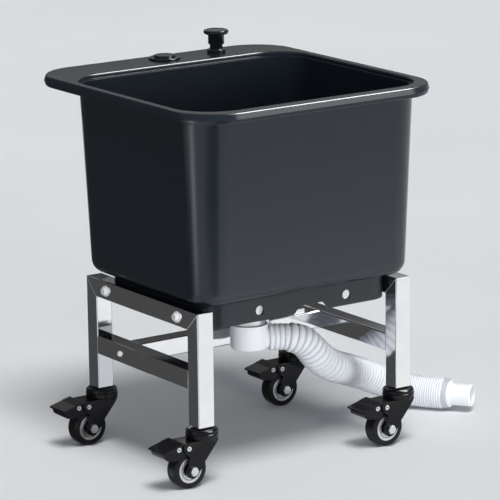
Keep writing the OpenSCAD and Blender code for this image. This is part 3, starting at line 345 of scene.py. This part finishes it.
def moulding(name, stations):
    """A closed shell through loops, each an outline, how far outside it the loop lies, and its height."""
    made = bpy.data.objects.new(name, bpy.data.meshes.new(name))
    bpy.context.scene.collection.objects.link(made)
    only(made)
    bpy.ops.object.mode_set(mode="EDIT")
    bpy.ops.mesh.select_mode(type="EDGE")
    for number, (outline, grow, height) in enumerate(stations, 1):
        half_x, half_y, radius, middle_y = outline
        centre = MIDDLE + Vector((0, middle_y, height))
        bpy.ops.mesh.select_all(action="DESELECT")
        bpy.ops.mesh.primitive_plane_add(size=2, location=centre)
        bpy.ops.transform.resize(value=(half_x + grow, half_y + grow, 1), center_override=centre)
        bpy.ops.mesh.bevel(offset=radius + grow, segments=CORNER_STEPS, affect="VERTICES")
        bpy.ops.mesh.delete(type="ONLY_FACE")
        shell = bmesh.from_edit_mesh(made.data)
        loop = shell.verts.layers.int.get("loop") or shell.verts.layers.int.new("loop")
        for point in shell.verts:
            if point[loop] == 0:
                point[loop] = number
        if number > 1:
            join_loops(made, number - 1, number)
    join_loops(made, len(stations), 1)
    bpy.ops.mesh.select_all(action="SELECT")
    bpy.ops.mesh.normals_make_consistent(inside=False)
    bpy.ops.object.mode_set(mode="OBJECT")
    return made


def join_loops(made, first, second):
    """Bridges two of a moulding's loops with a band of faces."""
    shell = bmesh.from_edit_mesh(made.data)
    loop = shell.verts.layers.int["loop"]
    for edge in shell.edges:
        ends = {point[loop] for point in edge.verts}
        edge.select_set(len(ends) == 1 and ends <= {first, second})
    bmesh.update_edit_mesh(made.data)
    bpy.ops.mesh.bridge_edge_loops()


def quarter(outline, grow, height, radius, start, end, steps):
    """Stations on an arc between two angles about a point that lies grow outside the outline."""
    angles = [radians(start + (end - start) * step / steps) for step in range(steps + 1)]
    return [(outline, grow + radius * cos(a), height + radius * sin(a)) for a in angles]


# Loops at one height lie a hair apart, so that the bridge between them knows its way round
HAIR = 0.0001
tub = moulding("tub_moulding", [
    (RIM, -SKIRT_IN, RIM_TOP - WALL_T + HAIR), (RIM, -SKIRT_IN, RIM_TOP - SKIRT_H + HAIR),
    *quarter(RIM, -BAND_STEP - SKIRT_EDGE_R, RIM_TOP - SKIRT_H + SKIRT_EDGE_R, SKIRT_EDGE_R, -90, 0, 4),
    (RIM, -BAND_STEP, RIM_TOP - BAND_H), (RIM, 0, RIM_TOP - BAND_H + HAIR),
    *quarter(RIM, -0.0052, RIM_TOP - RIM_EDGE_R, RIM_EDGE_R, 20, 90, 4),
    *quarter(MOUTH, LIP_R, RIM_TOP - LIP_R, LIP_R, 90, 180, 4),
    (MOUTH, 0, RIM_TOP - LEDGE_H), (WALL, WALL_LEAN - WALL_T, RIM_TOP - LEDGE_H - HAIR),
    (WALL, WALL_LEAN - WALL_T, RIM_TOP - UNDER_LEDGE_H),
    *quarter(WALL, -FLOOR_R, FLOOR_Z + FLOOR_R, FLOOR_R - WALL_T, 0, -90, 6),
    (DRAIN_HOLE, 0, FLOOR_Z + WALL_T - HAIR), (DRAIN_HOLE, 0, FLOOR_Z + HAIR),
    *quarter(WALL, -FLOOR_R, FLOOR_Z + FLOOR_R, FLOOR_R, -90, 0, 6),
    (WALL, WALL_LEAN, RIM_TOP - UNDER_LEDGE_H - HAIR), (MOUTH, WALL_T, RIM_TOP - UNDER_LEDGE_H),
    (MOUTH, WALL_T, RIM_TOP - WALL_T)])
soft_edges(tub, 0.0004, 2)

# The foot ring under its floor, with two round holes and a notch in the front
FOOT_TOP = FLOOR_Z + 0.001
foot = moulding("tub_foot", [
    (FOOT, 0, FOOT_LOW), (FOOT, 0, FOOT_TOP), (FOOT, -WALL_T, FOOT_TOP), (FOOT, -WALL_T, FOOT_LOW)])
FOOT_FRONT = MIDDLE.y - FOOT[1]
HOLES_X = (-0.067, 0.073)
HOLES_Z = 0.2195
HOLE_R = 0.00625
CUT = 0.02
cutters = []
for x in HOLES_X:
    bpy.ops.mesh.primitive_cylinder_add(vertices=40, radius=HOLE_R, depth=CUT, rotation=(radians(90), 0, 0),
                                        location=(MIDDLE.x + x, FOOT_FRONT, HOLES_Z))
    cutters.append(bpy.context.object)
NOTCH_X = 0.016
NOTCH_W = 0.075
NOTCH_TOP_W = 0.037
NOTCH_H = 0.0105
bpy.ops.mesh.primitive_cube_add(size=1, location=(MIDDLE.x + NOTCH_X, FOOT_FRONT, FOOT_LOW))
wedge = bpy.context.object
cutters.append(wedge)
wedge.scale = (NOTCH_W, CUT, 2 * NOTCH_H)
bpy.ops.object.transform_apply(location=False, rotation=False, scale=True)
bpy.ops.object.mode_set(mode="EDIT")
notch = bmesh.from_edit_mesh(wedge.data)
for face in notch.faces:
    face.select_set(face.normal.z > 0.5)
bmesh.update_edit_mesh(wedge.data)
bpy.ops.transform.resize(value=(NOTCH_TOP_W / NOTCH_W, 1, 1),
                         center_override=(MIDDLE.x + NOTCH_X, FOOT_FRONT, FOOT_LOW + NOTCH_H))
bpy.ops.object.mode_set(mode="OBJECT")
for cutter in cutters:
    hole = foot.modifiers.new("hole", "BOOLEAN")
    hole.object = cutter
    only(foot)
    bpy.ops.object.modifier_apply(modifier="hole")
    bpy.data.objects.remove(cutter)
soft_edges(foot, 0.0006, 2)
tub.select_set(True)
bpy.context.view_layer.objects.active = tub
bpy.ops.object.join()
tub.data.materials.clear()
tub.data.materials.append(charcoal.material)
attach(tub, "stand")
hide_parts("tub")

# The cover over the spare tap hole, and the pull knob in its bush: glossy black plastic with round edges,
# turned-looking, with the nuts, the plugs in the legs and the lift cable's sheath in the same plastic.
gloss_black = Finish("gloss_black_plastic", Specular_IOR_Level=0.5)
haze = gloss_black.noise(0.012, 2)
gloss_black.set("Base Color", gloss_black.mix(haze, (0.004, 0.005, 0.006), (0.007, 0.008, 0.009)))
gloss_black.set("Roughness", 0.07 + 0.07 * haze)
gloss_black.bump(haze, 0.0001, 0.1)
for node, width in (("tap_hole_cover", 0.0008), ("tap_hole_nut", 0.0005), ("knob_bush", 0.0008),
                    ("knob_bush_nut", 0.0006), ("pull_knob", 0.0006), ("drain_nut", 0.0006),
                    ("leg_plugs", 0.0004)):
    rounded(node, width, gloss_black)


def dress(finish, *names):
    """Gives a finish to CAD pieces that are shown as they are."""
    for name in names:
        mesh = nodes[name].data
        mesh.materials.clear()
        mesh.materials.append(finish.material)
        mesh.shade_smooth()


dress(gloss_black, "lift_cable")

# The casters: pressed steel heads, forks and brake pedals in gloss black enamel, with bright rivets and
# axle bolts. Each rivet and bolt head is rounded; the enamel is a little thick on the edges.
enamel = Finish("black_enamel", Specular_IOR_Level=0.18, Coat_Roughness=0.05, Coat_IOR=1.3)
orange_peel = enamel.noise(0.0025, 2)
enamel.set("Base Color", enamel.mix(orange_peel, (0.003, 0.003, 0.004), (0.005, 0.005, 0.006)))
enamel.set("Roughness", 0.16 + 0.08 * orange_peel)
enamel.set("Coat Weight", 0.3 + 0.2 * orange_peel)
enamel.bump(orange_peel, 0.00004, 0.25)
# How far from the stand's middle the swivels stand, and within what distance of its swivel's axis a rivet is
# painted dark, as shade in its recess
SWIVEL_Y = 0.123
SHADE_REACH_Y = 0.0158


def bright_steel(name, paint_shade):
    """Turned bright steel; with the second argument 1, what lies deeper than a rivet's head is painted dark as
    shade.
    """
    made = Finish(name, Metallic=1.0)
    rub = made.noise(0.003, 3)
    y = made.axes()[1]
    # Painted shade: near-black colour on what lies close to the swivel's axis, deeper than a rivet's head
    painted_shade = paint_shade * abs(abs(y - MIDDLE.y) - SWIVEL_Y).between(-1, SHADE_REACH_Y)
    turned = made.mix(rub, (0.80, 0.81, 0.83), (0.92, 0.93, 0.94))
    made.set("Base Color", made.mix(painted_shade, turned, (0.02, 0.02, 0.02)))
    made.set("Roughness", 0.28 + 0.12 * rub)
    made.bump(rub, 0.00003, 0.2)
    return made


bright = bright_steel("bright_steel", 0)
# The rivets' steel, with painted shade where they lie deep
shaded_rivet_steel = bright_steel("rivet_steel_painted_shade", 1)
for corner in CORNERS:
    for part in ("swivel_head_", "fork_", "brake_pedal_"):
        rounded(part + corner, 0.0005, enamel)
    rounded("axle_" + corner, 0.0003, bright)
    for part in ("pivot_rivet_", "pedal_rivet_"):
        rounded(part + corner, 0.0003, shaded_rivet_steel)

# The wheels: a black nylon hub with a bright pressed ring let into each side, in a smooth black tyre.
# The ring is polished in circles; the tyre is rubber straight from the mould.
WHEEL_X = 0.160
WHEEL_BACK = 0.025
WHEEL_R = 0.025
# Radii of the bright ring, and of its crease, which is painted dark as shade
RING = (0.0085, 0.0175)
CREASE = (0.0128, 0.0137)
hub_finish = Finish("hub_with_bright_ring", Specular_IOR_Level=0.5)
x, z = hub_finish.axes()[::2]
across = abs(abs(x - (MIDDLE.x - WHEEL_BACK)) - WHEEL_X)
up = z - WHEEL_R
reach = (across * across + up * up) ** 0.5
ring = reach.between(*RING)
crease_shade = reach.between(*CREASE)
lathe = hub_finish.node("ShaderNodeTexWave", {"wave_type": "BANDS"}, {"Vector": hub_finish.node(
    "ShaderNodeCombineXYZ", {}, {0: reach}), "Scale": 900}, 1)
# Painted shade: the crease across the bright ring is coloured nearly as dark as the hub
hub_finish.set("Base Color", hub_finish.mix(ring - 0.8 * crease_shade, (0.006, 0.006, 0.007), (0.90, 0.90, 0.91)))
hub_finish.set("Metallic", ring)
hub_finish.set("Roughness", 0.16 + 0.16 * ring + 0.06 * lathe)
hub_finish.bump(lathe, 0.00003, 0.3)
rubber = Finish("black_rubber", Specular_IOR_Level=0.25)
speck = rubber.noise(0.0015, 2)
rubber.set("Base Color", rubber.mix(speck, (0.005, 0.005, 0.006), (0.009, 0.009, 0.010)))
rubber.set("Roughness", 0.26 + 0.14 * speck)
rubber.bump(speck, 0.00004, 0.3)
dress(rubber, "drain_gasket", *["tyre_" + corner for corner in CORNERS])
for corner in CORNERS:
    rounded("hub_" + corner, 0.0002, hub_finish)

# The drain: a turned stainless flange and plug in the basin, and under it a white injection-moulded cup
# with its outlet; the cuff on the hose's free end is of the same plastic.
rounded("drain_flange", 0.0004, bright)
rounded("drain_plug", 0.0004, bright)
white = Finish("white_plastic", Specular_IOR_Level=0.4)
cast = white.noise(0.03, 2)
white.set("Base Color", white.mix(cast, (0.80, 0.82, 0.86), (0.86, 0.88, 0.91)))
white.set("Roughness", 0.28 + 0.12 * cast)
white.bump(white.noise(0.004, 2), 0.00005, 0.2)
rounded("drain_cup", 0.0006, white)
cuff = rounded("hose_cuff", 0.0008, white, 3)

# The drain hose: 0.35 m of blow-moulded white hose that pulls out like bellows. Its slim neck sits on the
# cup's outlet; the ribs are pulled wide in the bend and lie close where the hose meets the floor.
ROUTE = [Vector(point) / 1000 for point in (
    (41, -37, 145), (63, -48, 145), (72, -52, 142), (88, -55, 137), (107, -55, 113),
    (123, -43, 102), (139, -44, 91), (166, -25, 79), (197, -11, 67), (227, -6, 54),
    (257, -9, 40), (284, -17, 27), (302, -32, 23), (314, -49, 23), (327, -67, 23))]
guide = [2 * ROUTE[0] - ROUTE[1], *ROUTE, 2 * ROUTE[-1] - ROUTE[-2]]
STEPS = 24
middle = []
for start in range(len(ROUTE) - 1):
    for step in range(STEPS):
        t = step / STEPS
        weights = ((1 - t) ** 3, 3 * t ** 3 - 6 * t * t + 4, -3 * t ** 3 + 3 * t * t + 3 * t + 1, t ** 3)
        middle.append(sum((guide[start + k] * weights[k] / 6 for k in range(4)), Vector()))
middle.append(ROUTE[-1].copy())
run = [0]
for here, after in zip(middle, middle[1:]):
    run.append(run[-1] + (after - here).length)
hose_length = run[-1]


def on_hose(distance):
    """The point of the hose's middle line at that distance from its start."""
    distance = min(max(distance, 0), hose_length)
    k = next((i for i in range(1, len(run)) if run[i] >= distance), len(run) - 1)
    share = (distance - run[k - 1]) / (run[k] - run[k - 1])
    return middle[k - 1].lerp(middle[k], share)


HOSE_R = 0.0225
HOSE_WALL = 0.0014
VALLEY_R = HOSE_R - 0.0015
# The slim neck: its radius between the ribs, its length, and how far apart and how high its ribs are
NECK_R = 0.017
NECK_LENGTH = 0.027
NECK_PITCH = 0.00675
NECK_DEPTH = 0.0013
# Past the neck the ribs start FIRST_LESS lower and reach the full radius over FIRST_LENGTH
FIRST_LESS = 0.002
FIRST_LENGTH = 0.045
# How far apart the ribs are where the hose is pulled out, and from FINE_FROM on, where it is pressed together
WIDE_PITCH = 0.0078
WIDE_UNTIL = 0.165
FINE_PITCH = 0.0035
FINE_FROM = 0.300
# Distance along the hose, radius there and how near a rib's crest that is, from 0 to 1
profile = []
start = 0
while start + 2 * FINE_PITCH < hose_length:
    neck = start + NECK_PITCH / 2 < NECK_LENGTH
    pressed = min(max((start - WIDE_UNTIL) / (FINE_FROM - WIDE_UNTIL), 0), 1)
    pitch = NECK_PITCH if neck else WIDE_PITCH + (FINE_PITCH - WIDE_PITCH) * pressed
    depth = NECK_DEPTH if neck else 0.0008 + 0.2 * pitch
    less = max(0, FIRST_LESS * (1 - (start - NECK_LENGTH) / FIRST_LENGTH))
    crest = NECK_R + NECK_DEPTH if neck else HOSE_R - less
    for share in (0, 0.06, 0.14, 0.26, 0.42, 0.58, 0.74, 0.86, 0.94):
        rise = sin(pi * share) ** 0.5
        profile.append((start + pitch * share, crest - depth * (1 - rise), rise))
    start += pitch
profile += [(start, VALLEY_R, 0), (hose_length, VALLEY_R, 0)]

line = bpy.data.curves.new("drain_hose_line", "CURVE")
line.dimensions = "3D"
line.bevel_depth = HOSE_R
line.bevel_resolution = 8
spline = line.splines.new("POLY")
spline.points.add(len(profile) - 1)
for point, (distance, radius, rise) in zip(spline.points, profile):
    point.co = (*on_hose(distance), 1)
    point.radius = radius / HOSE_R
hose = bpy.data.objects.new("ribbed_hose", line)
bpy.context.scene.collection.objects.link(hose)
only(hose)
bpy.ops.object.convert(target="MESH")
crest_mark = hose.data.attributes.new("crest", "FLOAT", "POINT")
around = len(hose.data.vertices) // len(profile)
for number, mark in enumerate(crest_mark.data):
    mark.value = profile[number // around][2]
wall = hose.modifiers.new("wall", "SOLIDIFY")
wall.thickness = HOSE_WALL
wall.offset = -1
bpy.ops.object.modifier_apply(modifier="wall")
bpy.ops.object.shade_smooth_by_angle(angle=radians(60))
hose_white = Finish("hose_white", Specular_IOR_Level=0.4)
blow = hose_white.noise(0.02, 2)
crest_share = hose_white.node("ShaderNodeAttribute", {"attribute_name": "crest"}, output=2)
# Painted shade: the valleys between the ribs are coloured darker than the white crests
crest_light_valley_shade = crest_share * (0.9 + 0.1 * blow)
hose_white.set("Base Color", hose_white.mix(crest_light_valley_shade, (0.50, 0.53, 0.58), (0.84, 0.86, 0.90)))
hose_white.set("Roughness", 0.32 + 0.12 * blow)
hose.data.materials.clear()
hose.data.materials.append(hose_white.material)
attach(hose, "stand")
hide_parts("drain_hose")
[on_hose(0.003 * k) for k in range(int(hose_length / 0.003) + 1)] + [ROUTE[-1]]
